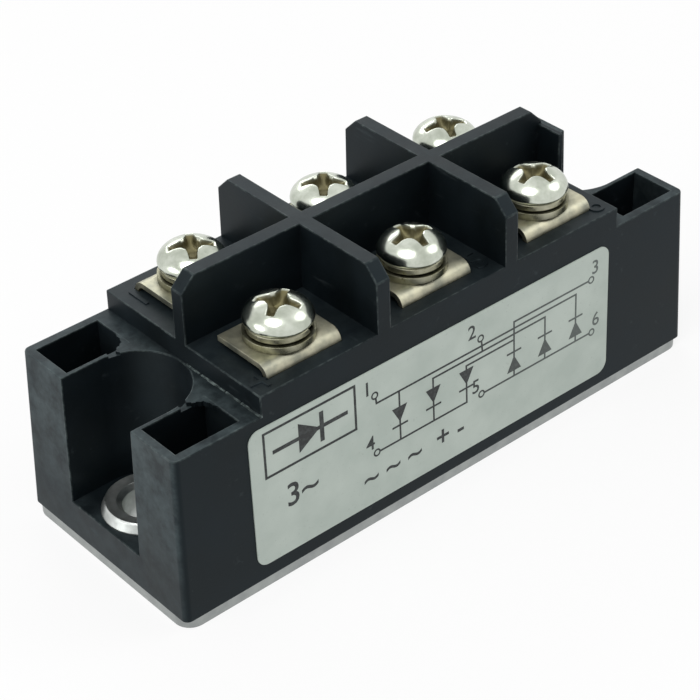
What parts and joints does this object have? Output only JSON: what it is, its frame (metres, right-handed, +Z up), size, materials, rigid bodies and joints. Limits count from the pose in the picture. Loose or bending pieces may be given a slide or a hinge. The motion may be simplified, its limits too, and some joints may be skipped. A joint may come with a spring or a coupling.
{
  "type": "three-phase bridge rectifier module",
  "caption": "Three-phase bridge rectifier module with screw terminals between moulded barriers, open end recesses for mounting screws and a metal base plate.",
  "frame": {"origin": "middle of the base plate's underside", "axes": "+X along the module, the labelled long side faces -Y, +Z up from the base plate through the terminals"},
  "size_m": [0.094, 0.0345, 0.04],
  "materials": {
    "base_metal": "bright nickel plate on copper",
    "moulding": "fine moulded satin",
    "bush_metal": "dull zinc plate",
    "label_foil": "satin silver-grey printed foil",
    "substrate_ceramic": "fired alumina",
    "bare_copper": "bare rolled copper",
    "gel": "clear soft gel",
    "epoxy": "poured epoxy",
    "silicon": "polished silicon",
    "terminal_metal": "nickel plate, slightly warm and dull",
    "fastener_steel": "bright nickel plate"
  },
  "bodies": {
    "root": {"base_plate": "base_metal", "housing": "moulding", "bush_left": "bush_metal", "bush_right": "bush_metal", "label": "label_foil", "ceramic_substrate": "substrate_ceramic", "negative_pad": "bare_copper", "positive_pad": "bare_copper", "negative_strap": "bare_copper", "silicone_gel": "gel", "epoxy_fill": "epoxy", "captive_nuts": "fastener_steel", "flat_washers": "fastener_steel", "spring_washers": "fastener_steel", "terminal_screws": "fastener_steel", "phase_pad_1": "bare_copper", "phase_pad_2": "bare_copper", "phase_pad_3": "bare_copper", "phase_clip_1": "bare_copper", "phase_clip_2": "bare_copper", "phase_clip_3": "bare_copper", "diode_chip_1": "silicon", "diode_chip_2": "silicon", "diode_chip_3": "silicon", "diode_chip_4": "silicon", "diode_chip_5": "silicon", "diode_chip_6": "silicon", "terminal_1": "terminal_metal", "terminal_2": "terminal_metal", "terminal_3": "terminal_metal", "terminal_4": "terminal_metal", "terminal_5": "terminal_metal", "terminal_6": "terminal_metal"}
  },
  "joints": []
}
